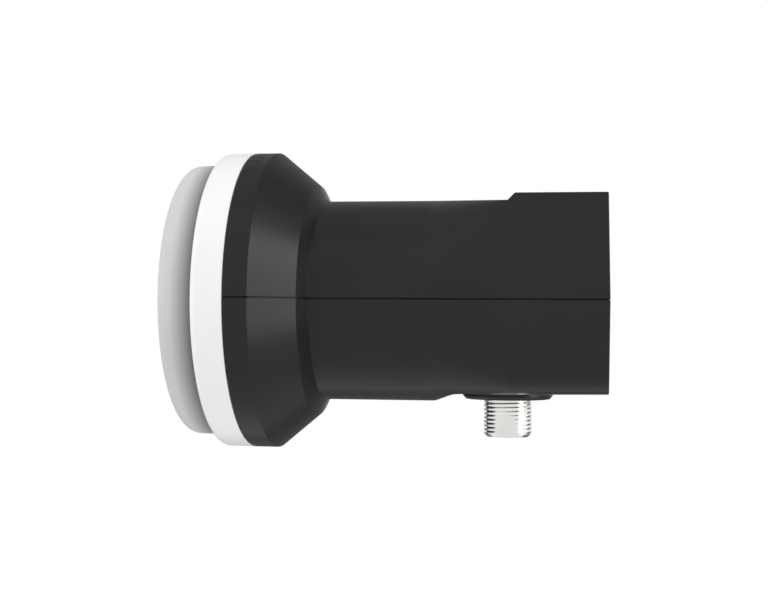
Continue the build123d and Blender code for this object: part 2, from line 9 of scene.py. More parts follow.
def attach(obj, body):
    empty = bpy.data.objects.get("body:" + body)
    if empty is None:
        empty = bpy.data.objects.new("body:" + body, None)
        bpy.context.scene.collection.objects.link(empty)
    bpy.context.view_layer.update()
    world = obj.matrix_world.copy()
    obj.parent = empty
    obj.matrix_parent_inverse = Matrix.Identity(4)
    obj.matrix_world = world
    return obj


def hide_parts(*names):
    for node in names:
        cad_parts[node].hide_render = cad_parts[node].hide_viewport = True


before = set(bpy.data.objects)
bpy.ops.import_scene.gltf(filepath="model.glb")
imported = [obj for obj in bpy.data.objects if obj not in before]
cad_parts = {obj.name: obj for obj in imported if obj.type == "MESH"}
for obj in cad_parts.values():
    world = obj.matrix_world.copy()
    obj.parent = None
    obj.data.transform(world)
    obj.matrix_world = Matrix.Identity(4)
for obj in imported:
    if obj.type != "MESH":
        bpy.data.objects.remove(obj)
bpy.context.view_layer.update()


# Horn casting: feed horn, waveguide, converter deck and socket column in one piece. It is die-cast in an
# aluminium alloy and only trimmed, so its skin keeps the dull, slightly cloudy grey that it leaves the die with.
def start_group(name, inputs, outputs):
    """A node group with float inputs (label, value) and float outputs, as (tree, input node, output node)."""
    tree = bpy.data.node_groups.new(name, "ShaderNodeTree")
    for label, value in inputs:
        socket = tree.interface.new_socket(label, in_out="INPUT", socket_type="NodeSocketFloat")
        socket.default_value = value
    for label in outputs:
        tree.interface.new_socket(label, in_out="OUTPUT", socket_type="NodeSocketFloat")
    return tree, tree.nodes.new("NodeGroupInput"), tree.nodes.new("NodeGroupOutput")


def spread(tree, value, low, high, to_low=0.0, to_high=1.0):
    """A value moved linearly from low..high to to_low..to_high and held at both ends."""
    node = tree.nodes.new("ShaderNodeMapRange")
    tree.links.new(value, node.inputs["Value"])
    for label, number in (("From Min", low), ("From Max", high), ("To Min", to_low), ("To Max", to_high)):
        node.inputs[label].default_value = number
    return node.outputs["Result"]


def noise(tree, vector, scale, detail):
    """Grey noise on a vector; scale is a number or a socket, in features per metre."""
    node = tree.nodes.new("ShaderNodeTexNoise")
    node.inputs["Detail"].default_value = detail
    tree.links.new(vector, node.inputs["Vector"])
    if isinstance(scale, bpy.types.NodeSocket):
        tree.links.new(scale, node.inputs["Scale"])
    else:
        node.inputs["Scale"].default_value = scale
    return node.outputs["Fac"]


def work_out(tree, operation, first, second):
    """One sum, product or other operation on two values, each a socket or a number."""
    node = tree.nodes.new("ShaderNodeMath")
    node.operation = operation
    for socket, value in zip(node.inputs, (first, second)):
        if isinstance(value, bpy.types.NodeSocket):
            tree.links.new(value, socket)
        else:
            socket.default_value = value
    return node.outputs["Value"]


def make_skin_group():
    """Relief from fine noise, tone from broad noise and gloss from a mixture of both."""
    tree, given, result = start_group(
        "moulded_skin", [("Fine", 4000.0), ("Broad", 60.0)], ["Relief", "Tone", "Gloss"]
    )
    place = tree.nodes.new("ShaderNodeTexCoord").outputs["Object"]
    fine = noise(tree, place, given.outputs["Fine"], 3.0)
    broad = noise(tree, place, given.outputs["Broad"], 4.0)
    tree.links.new(fine, result.inputs["Relief"])
    tree.links.new(spread(tree, broad, 0.32, 0.68), result.inputs["Tone"])
    mixed = work_out(tree, "ADD", work_out(tree, "MULTIPLY", fine, 0.5), work_out(tree, "MULTIPLY", broad, 0.5))
    tree.links.new(spread(tree, mixed, 0.35, 0.65), result.inputs["Gloss"])
    return tree


def blend(tree, factor, first, second):
    """A colour between two, each a socket or a linear colour."""
    node = tree.nodes.new("ShaderNodeMix")
    node.data_type = "RGBA"
    tree.links.new(factor, node.inputs[0])
    for socket, colour in ((node.inputs[6], first), (node.inputs[7], second)):
        if isinstance(colour, bpy.types.NodeSocket):
            tree.links.new(colour, socket)
        else:
            socket.default_value = (*colour, 1.0)
    return node.outputs[2]


skin_group = make_skin_group()


class Finish:
    """A material whose colour, roughness and relief follow the moulded_skin group.

    Dark and light are the ends of its linear colour, fine and broad the noise in features per metre, roughness
    holds its least and its most, and relief the bump's strength and its height in metres.
    """

    def __init__(self, name, dark, light, fine, broad, roughness, relief, metallic=0.0, specular=0.5):
        self.material = bpy.data.materials.new(name)
        self.material.use_nodes = True
        self.tree = self.material.node_tree
        self.shader = self.tree.nodes["Principled BSDF"]
        self.shader.inputs["Metallic"].default_value = metallic
        self.shader.inputs["Specular IOR Level"].default_value = specular
        self.skin = self.tree.nodes.new("ShaderNodeGroup")
        self.skin.node_tree = skin_group
        self.skin.inputs["Fine"].default_value = fine
        self.skin.inputs["Broad"].default_value = broad
        self.colour(blend(self.tree, self.skin.outputs["Tone"], dark, light))
        rough = spread(self.tree, self.skin.outputs["Gloss"], 0.0, 1.0, *roughness)
        self.tree.links.new(rough, self.shader.inputs["Roughness"])
        self.bump = self.tree.nodes.new("ShaderNodeBump")
        self.bump.inputs["Strength"].default_value = relief[0]
        self.bump.inputs["Distance"].default_value = relief[1]
        self.height(self.skin.outputs["Relief"])
        self.tree.links.new(self.bump.outputs["Normal"], self.shader.inputs["Normal"])

    def colour(self, socket):
        """Gives the shader its colour and keeps it for a later blend."""
        self.base = socket
        self.tree.links.new(socket, self.shader.inputs["Base Color"])

    def height(self, socket):
        """Gives the bump its height and keeps it for a later sum."""
        self.relief = socket
        self.tree.links.new(socket, self.bump.inputs["Height"])

    def dress(self, *names):
        """Puts the material on CAD nodes."""
        for name in names:
            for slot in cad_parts[name].material_slots:
                slot.material = self.material


cast_alloy = Finish(
    "cast_alloy", dark=(0.33, 0.33, 0.34), light=(0.45, 0.45, 0.46),
    fine=1500.0, broad=90.0, roughness=(0.34, 0.52), relief=(0.35, 0.0002), metallic=1.0,
)
cast_alloy.dress("horn_casting")


# Isolation pin and probes: a short brass pin pressed into the waveguide and the two plated wires that pick
# up the two polarisations. They are drawn wire, cut to length, one of them bent up to the board.
def make_drawn_group():
    """Fine lines along the drawing direction: noise stretched along one axis."""
    tree, given, result = start_group("drawn_lines", [("Across", 6000.0), ("Along", 200.0)], ["Lines"])
    place = tree.nodes.new("ShaderNodeTexCoord").outputs["Object"]
    parts = tree.nodes.new("ShaderNodeSeparateXYZ")
    tree.links.new(place, parts.inputs["Vector"])
    joined = tree.nodes.new("ShaderNodeCombineXYZ")
    for axis, label in (("X", "Across"), ("Y", "Across"), ("Z", "Along")):
        stretched = work_out(tree, "MULTIPLY", parts.outputs[axis], given.outputs[label])
        tree.links.new(stretched, joined.inputs[axis])
    tree.links.new(noise(tree, joined.outputs["Vector"], 1.0, 2.0), result.inputs["Lines"])
    return tree


drawn_group = make_drawn_group()
brass_pin = Finish(
    "brass_pin", dark=(0.56, 0.39, 0.16), light=(0.70, 0.51, 0.24),
    fine=5000.0, broad=400.0, roughness=(0.18, 0.34), relief=(0.2, 0.00003), metallic=1.0,
)
drawn = brass_pin.tree.nodes.new("ShaderNodeGroup")
drawn.node_tree = drawn_group
brass_pin.height(work_out(brass_pin.tree, "ADD", drawn.outputs["Lines"], brass_pin.relief))
brass_pin.dress("isolation_pin", "upright_probe", "level_probe")


# Probe bushes: two small white plastic sleeves that centre the probes in the waveguide's wall. They are cut
# from rod, so they have a soft waxy surface.
white_bush = Finish(
    "white_bush", dark=(0.74, 0.74, 0.71), light=(0.82, 0.82, 0.80),
    fine=3500.0, broad=300.0, roughness=(0.42, 0.56), relief=(0.15, 0.00003), specular=0.4,
)
white_bush.shader.inputs["Subsurface Weight"].default_value = 0.1
white_bush.shader.inputs["Subsurface Radius"].default_value = (0.001, 0.001, 0.001)
white_bush.dress("probe_bushes")


# Circuit board: a thin laminate with green lacquer over etched copper, laid on the casting's deck. The
# lacquer is slightly raised over the tracks and pale over the copper.
board = Finish(
    "board_laminate", dark=(0.012, 0.085, 0.030), light=(0.020, 0.110, 0.042),
    fine=2600.0, broad=160.0, roughness=(0.22, 0.38), relief=(0.25, 0.00006),
)
board_place = board.tree.nodes.new("ShaderNodeTexCoord").outputs["Object"]
tracks = board.tree.nodes.new("ShaderNodeTexBrick")
tracks.inputs["Scale"].default_value = 260.0
tracks.inputs["Mortar Size"].default_value = 0.035
tracks.inputs["Color1"].default_value = (0.0, 0.0, 0.0, 1.0)
tracks.inputs["Color2"].default_value = (0.0, 0.0, 0.0, 1.0)
tracks.inputs["Mortar"].default_value = (1.0, 1.0, 1.0, 1.0)
board.tree.links.new(board_place, tracks.inputs["Vector"])
board.colour(blend(board.tree, tracks.outputs["Fac"], board.base, (0.10, 0.24, 0.07)))
board.height(work_out(board.tree, "ADD", board.relief, tracks.outputs["Fac"]))
board.dress("circuit_board")


# Parts on the board: black moulded transistor, converter and regulator packages, a wound choke, a tinned
# crystal can and rows of ceramic chip capacitors and resistors. All are soldered flat on the board.
chip_black = Finish(
    "chip_black", dark=(0.014, 0.014, 0.015), light=(0.026, 0.026, 0.027),
    fine=5200.0, broad=500.0, roughness=(0.48, 0.66), relief=(0.3, 0.00004),
)
chip_black.dress("lna_transistors", "converter_chip", "voltage_regulator", "supply_choke", "chip_resistors")
crystal_can = Finish(
    "crystal_can", dark=(0.60, 0.60, 0.59), light=(0.72, 0.72, 0.70),
    fine=4200.0, broad=350.0, roughness=(0.20, 0.36), relief=(0.2, 0.00003), metallic=1.0,
)
crystal_can.dress("reference_crystal")
capacitor = Finish(
    "capacitor_ceramic", dark=(0.30, 0.20, 0.12), light=(0.40, 0.28, 0.17),
    fine=5200.0, broad=500.0, roughness=(0.40, 0.60), relief=(0.25, 0.00004),
)
capacitor.dress("chip_capacitors")


# Shield cover and its screws: a die-cast cover of the same alloy as the horn, held by six small plated steel
# screws. The plating is brighter than the casting and shows fine turning marks.
cast_alloy.dress("shield_cover")
screw_steel = Finish(
    "screw_steel", dark=(0.50, 0.50, 0.52), light=(0.64, 0.64, 0.66),
    fine=4800.0, broad=420.0, roughness=(0.16, 0.32), relief=(0.2, 0.00003), metallic=1.0,
)
screw_steel.dress("cover_screws")


# Gasket and seals: the flat gasket under the cover, the round cord in the horn rim's groove and the ring on
# the cable socket. They are moulded black rubber, matt and faintly dusty with talc.
black_rubber = Finish(
    "black_rubber", dark=(0.016, 0.016, 0.016), light=(0.034, 0.034, 0.033),
    fine=3200.0, broad=120.0, roughness=(0.66, 0.84), relief=(0.4, 0.00008), specular=0.35,
)
black_rubber.dress("cover_gasket", "cap_seal", "connector_seal")


# Core of the cable socket: a white plastic insulator recessed in the barrel's mouth and the plated contact
# behind its round hole. The insulator is turned from rod and pressed in from above.
white_bush.dress("connector_insulator")
brass_pin.dress("connector_contact")


# Barrel of the cable socket: turned brass with bright nickel plating and a 3/8-32 thread that takes the
# cable plug's nut. Its stem is pressed into the casting's column and its flange sits on a rubber ring. The
# thread is shallower than a real one, because the photograph shows it faint and smooth.
def turned_line(corners, closed=True):
    """The corners (along, radius, rounding) of a profile with each corner replaced by a tangent arc."""
    points = np.array([corner[:2] for corner in corners], float)
    before = np.roll(points, 1, axis=0) - points
    after = np.roll(points, -1, axis=0) - points
    before /= np.linalg.norm(before, axis=1)[:, None]
    after /= np.linalg.norm(after, axis=1)[:, None]
    line = []
    for i, (point, back, ahead) in enumerate(zip(points, before, after)):
        radius = corners[i][2]
        if radius == 0 or (not closed and i in (0, len(points) - 1)):
            line.append(point[None])
            continue
        half = math.acos(np.clip(back @ ahead, -1, 1)) / 2
        reach = radius / math.tan(half)
        middle = point + (back + ahead) / np.linalg.norm(back + ahead) * radius / math.sin(half)
        start, end = point + back * reach - middle, point + ahead * reach - middle
        turn = math.pi - 2 * half
        part = np.linspace(0, 1, max(3, round(math.degrees(turn) / 15) + 1))[:, None]
        arc = middle + (np.sin((1 - part) * turn) * start + np.sin(part * turn) * end) / math.sin(turn)
        margin = radius * 0.08
        line.append(np.vstack([arc[:1] + back * margin, arc, arc[-1:] + ahead * margin]))
    return np.vstack(line)


def grid_faces(rows, columns, first=0):
    """The corner numbers of the quads of a grid of points, row after row."""
    start = first + (np.arange(rows - 1)[:, None] * columns + np.arange(columns - 1)[None]).reshape(-1, 1)
    return start + np.array([0, 1, columns + 1, columns])


def make_piece(name, points, faces, material, sharp=38.0):
    """A closed mesh object from points in millimetres: doubles merged, faces outwards, smooth but at sharp edges."""
    mesh = bpy.data.meshes.new(name)
    mesh.from_pydata(np.asarray(points) * 0.001, [], faces.tolist())
    work = bmesh.new()
    work.from_mesh(mesh)
    bmesh.ops.remove_doubles(work, verts=work.verts, dist=2e-6)
    bmesh.ops.dissolve_degenerate(work, edges=work.edges, dist=1e-7)
    bmesh.ops.recalc_face_normals(work, faces=work.faces)
    work.to_mesh(mesh)
    work.free()
    mesh.shade_smooth()
    mesh.set_sharp_from_angle(angle=math.radians(sharp))
    mesh.materials.append(material)
    piece = bpy.data.objects.new(name, mesh)
    bpy.context.scene.collection.objects.link(piece)
    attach(piece, "root")
    return piece


def socket_places(radius, height, turn):
    """Points about the cable socket's upright axis."""
    return np.stack([socket_x + radius * np.cos(turn), radius * np.sin(turn), height + 0 * turn], axis=-1)


socket_x = 25.4
barrel_end, barrel_top, end_radius = -26.9, -19.3, 4.0625
crest, root, neck_under_thread = 4.7625, 4.69, 4.3125
root_flat, slope = 0.1, 0.8
inch, threads_per_inch = 25.4, 32
pitch = inch / threads_per_inch
flange_radius, flange_low, flange_high = 5.6, -16.95, -16.0
stem_radius, stem_top, contact_hole = 4.0, -7.0, 0.97
bore_radius, bore_top, bore_bevel = 3.32, -8.5, 0.2
steps, columns = 14, 120
turn = np.linspace(0, 2 * np.pi, columns + 1)[None]
row = np.arange(math.ceil((barrel_top - barrel_end) / pitch + 2) * steps + 1)[:, None]
height = barrel_end - pitch + row * pitch / steps + pitch * turn / (2 * np.pi)
flank = 1 - np.abs(2 * (row / steps % 1) - 1)
radius = root + (crest - root) * np.clip((flank - root_flat) / slope, 0, 1) + 0 * turn
radius = np.minimum(radius, end_radius + np.maximum(height - barrel_end, 0))
radius = np.where(height >= barrel_top, neck_under_thread, np.where(height <= barrel_end, end_radius, radius))
height = np.clip(height, barrel_end, barrel_top)
thread = socket_places(radius, height, turn + 0 * height)
rest = turned_line([
    (neck_under_thread, barrel_top, 0), (neck_under_thread, flange_low, 0.1), (flange_radius, flange_low, 0.1),
    (flange_radius, flange_high, 0.15), (stem_radius, flange_high, 0.1), (stem_radius, stem_top, 0.2),
    (contact_hole, stem_top, 0.1), (contact_hole, bore_top, 0.1), (bore_radius, bore_top, 0.1),
    (bore_radius, barrel_end + bore_bevel, 0.05), (bore_radius + bore_bevel, barrel_end, 0.05),
    (end_radius, barrel_end, 0),
], closed=False)
plain = socket_places(rest[:, :1], rest[:, 1:], turn)
nickel = Finish(
    "nickel_barrel", dark=(0.72, 0.71, 0.69), light=(0.80, 0.79, 0.77),
    fine=5200.0, broad=300.0, roughness=(0.13, 0.22), relief=(0.12, 0.00002), metallic=1.0,
)
barrel = make_piece(
    "threaded_barrel",
    np.vstack([thread.reshape(-1, 3), plain.reshape(-1, 3)]),
    np.vstack([
        grid_faces(*thread.shape[:2]),
        grid_faces(*plain.shape[:2], thread.shape[0] * thread.shape[1]),
    ]),
    nickel.material,
)
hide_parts("connector_body")


# Lower half of the housing: black moulded plastic with a fine satin grain, a flat underside that a scoop
# leads to and the collar round the cable socket. A tongue along its rim laps inside the upper half.
head_radius, neck_radius, half_width, wall = 29.8, 20.0, 20.0, 2.0
head_front, spigot_step, spigot_radius, spigot_bore = -25.2, -23.2, 28.2, 26.4
cone_inside = [-21.4405, -11.8405], [head_radius - wall, neck_radius - wall]
tail_start, scoop_end, block_start, rear = 11.0, 16.3, 26.55, 45.45
block_rows = (28.75, 29.95, 31.5, 34.0, 37.0, 40.0, 43.45, 44.4, 45.0)
opening, socket_window = (19.3, 31.5), 6.1
tick_end = -22.3
strip = 6.0


def round_rows():
    """Outer (x, radius) rows of head, cone and neck, from the snap spigot's rim to the neck's rear end."""
    rim, bead, bead_half, bead_height = -28.85, -27.025, 0.5, 0.3
    spigot = turned_line([
        (rim, spigot_bore, 0), (rim, spigot_radius, 0.2), (bead - bead_half, spigot_radius, 0),
        (bead, spigot_radius + bead_height, 0), (bead + bead_half, spigot_radius, 0),
        (head_front, spigot_radius, 0), (head_front, head_radius, 0.25), (-24.0, head_radius, 0),
    ], closed=False)
    land_rows = (spigot_step, spigot_step, tick_end - 0.03, tick_end + 0.03, -21.4)
    land = np.array([(x, head_radius) for x in land_rows])
    cone = turned_line([
        (-21.2, head_radius, 0), (-20.6, head_radius, 0.2), (-12.75, 23.25, 0.2), (-11.1, neck_radius, 0.08),
        (-10.6, neck_radius, 0),
    ], closed=False)
    neck = np.array([(x, neck_radius) for x in (-9.4, -7.0, -3.5, 0.0, 3.5, 7.0, 9.8)])
    return np.vstack([spigot, land, cone, neck])


def section(rows, start, columns_side, columns_corner, columns_top, cut=None):
    """Half sections from the parting line to the middle, as (rows, columns, 2) of y and height above the parting.

    Each point is a share of the way from a circle to a rectangle with rounded corners: the side strip of the
    circle (strip degrees each side of level) goes to the straight side, its wide arc to the corner and the
    narrow arc at the top to the straight top. Start is the height of the first point. Cut holds for each row the
    height of a flat that ends the corner early, and the flat then runs level from there to the middle.
    """
    radius, share, half, top, corner, below = [np.asarray(rows[key], float)[:, None] for key in
                                               ("radius", "share", "half", "top", "corner", "below")]

    def side(part):
        angle = np.radians(2 * strip * part - strip)
        y = (1 - share) * radius * np.cos(angle) + share * half
        z = (1 - share) * radius * np.sin(angle) + share * (below + (top - corner - below) * part)
        return y, z

    def arc(part):
        angle, turn = np.radians(strip + (90 - 2 * strip) * part), np.radians(90 * part)
        y = (1 - share) * radius * np.cos(angle) + share * (half - corner + corner * np.cos(turn))
        z = (1 - share) * radius * np.sin(angle) + share * (top - corner + corner * np.sin(turn))
        return y, z

    def solve(shape, level):
        """The share of a shape at which it reaches a level, by halving."""
        low, high = np.zeros_like(radius), np.ones_like(radius)
        for _ in range(40):
            middle = (low + high) / 2
            under = shape(middle)[1] < level
            low, high = np.where(under, middle, low), np.where(under, high, middle)
        return low

    first = solve(side, start)
    side_y, side_z = side(first + (1 - first) * columns_side[None])
    last = np.ones_like(radius) if cut is None else solve(arc, np.asarray(cut)[:, None])
    arc_y, arc_z = arc(last * columns_corner[None])
    reach = arc(last)[0]
    inner = np.minimum(socket_window, reach / 2)
    across = np.where(columns_top >= 0.5, inner + (reach - inner) * (2 * columns_top - 1), inner * 2 * columns_top)
    angle = np.radians(90 - strip * across / np.maximum(reach, 1e-9))
    top_z = (1 - share) * radius * np.sin(angle) + share * top
    if cut is not None:
        top_z = np.minimum(top_z, np.asarray(cut)[:, None])
    return np.stack([np.hstack([side_y, arc_y, across]), np.hstack([side_z, arc_z, top_z])], axis=-1)


def whole_section(half_section):
    """Both halves of a section, from the parting line on one side over the middle to the other."""
    mirrored = half_section[:, -2::-1] * np.array([-1.0, 1.0])
    return np.concatenate([half_section, mirrored], axis=1)


def carried_rows(block, tail_end):
    """One table for all rows: the round rows, the tail behind the clamp, the rear block and its closed end.

    Block gives the rows (x, top, corner) of the block before its rear edge, and tail_end the (top, corner) that
    the tail grows into, easing in at its start. The rear edge is a small rounding and the end wall shrinks to
    the middle of the parting line.
    """
    soft, least_corner, ease = 0.25, 0.1, 1.2
    turned = round_rows()
    tail = np.hstack([
        [10.1, 10.4, 10.7], np.linspace(tail_start, scoop_end, 16),
        [16.8, 17.4, 18.3], np.linspace(opening[0], block_start, 12),
    ])
    block = np.asarray(block, float)
    edge = np.radians([0, 22.5, 45, 67.5, 90])
    fan = np.array([0.985, 0.8, 0.55, 0.3, 0.12, 0.0])
    counts = [len(turned), len(tail), len(block), len(edge), len(fan)]
    top, corner = block[-1, 1:]
    shy = soft * (1 - np.cos(edge))
    run = tail - tail_start
    eased = np.where(run < ease, np.maximum(run + ease, 0) ** 2 / (4 * ease), run)
    grown = eased / (block_start - tail_start)

    def joined(*parts):
        return np.hstack([np.broadcast_to(np.asarray(part, float), count) for part, count in zip(parts, counts)])

    rows = {
        "x": joined(turned[:, 0], tail, block[:, 0], rear - soft + soft * np.sin(edge), rear),
        "radius": joined(turned[:, 1], neck_radius, neck_radius, neck_radius, neck_radius),
        "share": joined(0.0, grown, 1.0, 1.0, 1.0),
        "half": joined(half_width, half_width, half_width, half_width - shy, half_width - soft),
        "top": joined(tail_end[0], tail_end[0], block[:, 1], top - shy, top - soft),
        "corner": joined(
            tail_end[1], tail_end[1], block[:, 2],
            np.maximum(corner - shy, least_corner), max(corner - soft, least_corner),
        ),
        "shrink": joined(1.0, 1.0, 1.0, 1.0, fan),
        "back": joined(0.0, 0.0, 0.0, np.sin(edge), 1.0),
        "out": joined(1.0, 1.0, 1.0, np.cos(edge), 0.0),
    }
    return rows


def housing_half(way, block, tail_end, below, hollow, lap, tongue_end, draft, cut=None, window=None, ticks=None):
    """One half of the housing as a closed wall: way is 1 for the upper half and -1 for the lower one.

    Every row is a closed loop: the outer section from one parting edge over the middle to the other, the
    step of the lap, the inner section back and the step again. Rows are carried from the spigot's rim to
    the end wall, which closes at the middle of the parting line and leans forward by the draft. Hollow gives
    the inside's top as a table over x, its corner and its lower end.
    """
    gap, soft = 0.135, 0.1
    lean_start, lean_run, round_end = 35, 10, 9.0
    rows = carried_rows(block, tail_end)
    rows["below"] = np.full(len(rows["x"]), below)
    inside = {key: value.copy() for key, value in rows.items()}
    x = rows["x"]
    step = np.flatnonzero(x == spigot_step)[0]
    inside["radius"] = np.where(np.arange(len(x)) <= step, spigot_bore, np.interp(x, *cone_inside))
    inside["x"] = np.minimum(x, rear - wall)
    inside["half"] = np.full(len(x), half_width - wall)
    inside["top"] = np.interp(x, *hollow["top"])
    inside["corner"] = np.full(len(x), hollow["corner"])
    inside["below"] = np.full(len(x), hollow["below"])
    side = np.linspace(0, 1, 6)[:-1]
    corner_columns = np.linspace(0, 1, 44)[:-1]
    top_columns = np.linspace(1, 0, 9)
    if ticks is not None:
        corner_columns = np.unique(np.hstack([corner_columns, ticks["corner"]]))
        top_columns = np.unique(np.hstack([top_columns, ticks["top"]]))[::-1]
    cuts = (None, None) if cut is None else (cut(x, 0.0), cut(x, wall))
    outer = whole_section(section(rows, gap + soft, side, corner_columns, top_columns, cuts[0]))
    inner = whole_section(section(inside, tongue_end, side, corner_columns, top_columns, cuts[1]))
    if ticks is not None:
        outer = ticks["cut"](outer, x)
    for shape, base in ((outer, gap + soft), (inner, tongue_end)):
        shape[..., 0] *= rows["shrink"][:, None]
        shape[..., 1] = base + (shape[..., 1] - base) * rows["shrink"][:, None]
    lean = math.tan(math.radians(draft)) * np.clip((x - lean_start) / lean_run, 0, 1)[:, None]

    def places(shape, along):
        return np.stack([along[:, None] - lean * np.abs(shape[..., 1]), shape[..., 0], way * shape[..., 1]], axis=-1)

    def edge(sign, inset, level):
        """A line along the parting edge, moved in by inset at a height above the parting plane."""
        y = outer[:, 0, 0] - inset * rows["out"]
        deep = np.minimum(x - inset * rows["back"], rear - inset)
        y = np.minimum(y, np.maximum(half_width - inset, y * (x < round_end)))
        return np.stack([deep, sign * y, np.full(len(x), way * level)], axis=-1)[:, None]

    angle = np.radians([90, 60, 30])
    rounding = [(soft * (1 - np.cos(a)), gap + soft * (1 - np.sin(a))) for a in angle]
    steps_in = [(lap, gap), (lap, tongue_end)]
    outer_points = places(outer, x)
    inner_points = places(inner, inside["x"])
    inner_points[0] = outer_points[0]
    right = [edge(1, *place) for place in rounding]
    left = [edge(-1, *place) for place in reversed(rounding)]
    right_step = [edge(1, *place) for place in reversed(steps_in)]
    left_step = [edge(-1, *place) for place in steps_in]
    for line in right_step + right[1:]:
        line[0] = right[0][0]
    for line in left_step + left[:-1]:
        line[0] = left[-1][0]
    loop = np.concatenate(
        right + [outer_points] + left + left_step + [inner_points[:, ::-1]] + right_step + right[:1], axis=1
    )
    faces = grid_faces(*loop.shape[:2]).reshape(len(x) - 1, loop.shape[1] - 1, 4)
    keep = np.ones(faces.shape[:2], bool)
    walls = np.zeros((0, 4), int)
    if window is not None:
        keep, walls = window(x, outer.shape[1], loop.shape[1], keep)
    return loop.reshape(-1, 3), np.vstack([faces[keep], walls])


def underside(x):
    """Depth of the flat underside below the axis, which its draft lets fall off slightly towards the rear."""
    depth, fall = 18.12, 0.0128
    return depth - fall * (np.asarray(x) - scoop_end)


def scoop_cut(x, inset):
    """Depth of the underside below the axis, with none before the scoop.

    Outside it is the deeper of a straight ramp and the flat, their corner rounded as a hyperbola. Inside it is an
    arc that ends level in a plain floor.
    """
    ramp_start, steepness, soft = 10.9, 0.4, 0.29
    level, arc = 18.05, 8.1776
    no_cut, scoop_start, plain_start = 99.0, 10.95, 26.0
    ramp, flat = neck_radius - steepness * (x - ramp_start), underside(x)
    outside = (ramp + flat + np.sqrt((ramp - flat) ** 2 + soft**2)) / 2
    inside = level + arc - np.sqrt(np.maximum((arc + inset) ** 2 - np.minimum(x - scoop_end, 0) ** 2, 0))
    return np.where(x < scoop_start, no_cut, inside if inset else np.where(x < plain_start, outside, flat))


def socket_opening(x, section_columns, loop_columns, keep):
    """Leaves a square opening for the cable socket in both skins and walls it round."""
    edge_lines, step_lines, reach = 3, 2, 4
    first, last = [int(np.argmin(np.abs(x - place))) for place in opening]
    middle = edge_lines + section_columns // 2
    inner_middle = 2 * edge_lines + section_columns + step_lines + section_columns // 2
    keep[first:last, middle - reach:middle + reach] = False
    keep[first:last, inner_middle - reach:inner_middle + reach] = False
    down = np.arange(first, last + 1)
    across = np.arange(-reach, reach + 1)

    def ring(centre, sign):
        parts = [
            down * loop_columns + centre - sign * reach,
            last * loop_columns + centre + sign * across,
            down[::-1] * loop_columns + centre + sign * reach,
            first * loop_columns + centre - sign * across,
        ]
        return np.hstack([part[:-1] for part in parts])

    outer, inner = ring(middle, 1), ring(inner_middle, -1)
    return keep, np.stack([outer, np.roll(outer, -1), np.roll(inner, -1), inner], axis=-1)


plain_corner = 7.0
plain_block = [(x, underside(x), plain_corner) for x in (27.0, 28.0, *block_rows)]
shell_black = Finish(
    "black_shell", dark=(0.0135, 0.0135, 0.0137), light=(0.0165, 0.0165, 0.0167),
    fine=5200.0, broad=45.0, roughness=(0.28, 0.34), relief=(0.10, 0.00004), specular=0.2,
)
points, faces = housing_half(
    -1, plain_block, tail_end=(underside(block_start), plain_corner), below=-17.9,
    hollow={"top": ([0.0], [16.05]), "corner": 5.0, "below": -16.3},
    lap=1.1, tongue_end=-1.5, draft=0.65, cut=scoop_cut, window=socket_opening,
)
collar_bore, collar_radius, collar_face, collar_bevel = 5.0025, 8.9, -19.4, 0.6
flange_room, flange_seat, collar_top = 5.8, -18.4375, -16.15
collar_line = turned_line([
    (collar_bore, collar_face, 0.1), (collar_radius - collar_bevel, collar_face, 0.15),
    (collar_radius, collar_face + collar_bevel, 0.15), (collar_radius, collar_top, 0),
    (flange_room, collar_top, 0), (flange_room, flange_seat, 0), (collar_bore, flange_seat, 0),
])
collar_line = np.vstack([collar_line, collar_line[:1]])
collar = socket_places(collar_line[:, :1], collar_line[:, 1:], np.linspace(0, 2 * np.pi, 145)[None])
lower_half = make_piece(
    "lower_half",
    np.vstack([points, collar.reshape(-1, 3)]),
    np.vstack([faces, grid_faces(*collar.shape[:2], len(points))]),
    shell_black.material,
)
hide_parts("lower_shell")


# Upper half of the housing: the same black plastic, with a plate on its roof at the rear end and a row of
# fine grooves in the head's land, the scale that the unit is turned against in its clamp.
tick_pitch, ticks_each_side, tick_depth = 5.0, 5, 0.2
roof, plate_top, plate_corner = 18.5, 19.8, 0.35
bow_x, bow_radius = 28.0157, 0.4
upper_below = -11.05


def tick_columns():
    """Column places of the grooves' edges: circle angles one pitch apart, spread about the top."""
    edges = np.array([-0.37, -0.31, 0.31, 0.37])
    middles = np.arange(-ticks_each_side, ticks_each_side + 1) * tick_pitch
    angles = np.unique(np.abs(middles[:, None] + edges[None]).ravel())
    return (90 - angles[angles > strip] - strip) / (90 - 2 * strip), angles[angles <= strip] / strip


def cut_ticks(shape, x):
    """Lowers the land by the grooves' depth at their columns, from the head's front face to the grooves' end."""
    half_tick, last_angle = 0.34, ticks_each_side * tick_pitch + 1
    angle = np.degrees(np.arctan2(shape[..., 0], shape[..., 1]))
    near = np.abs(angle / tick_pitch - np.round(angle / tick_pitch)) * tick_pitch < half_tick
    on_land = (x > head_front - 0.1) & (x < tick_end)
    inside = near & (np.abs(angle) < last_angle) & on_land[:, None]
    radius = np.linalg.norm(shape, axis=-1)
    lowered = np.minimum(radius, head_radius - tick_depth)
    return shape * np.where(inside, lowered / radius, 1.0)[..., None]


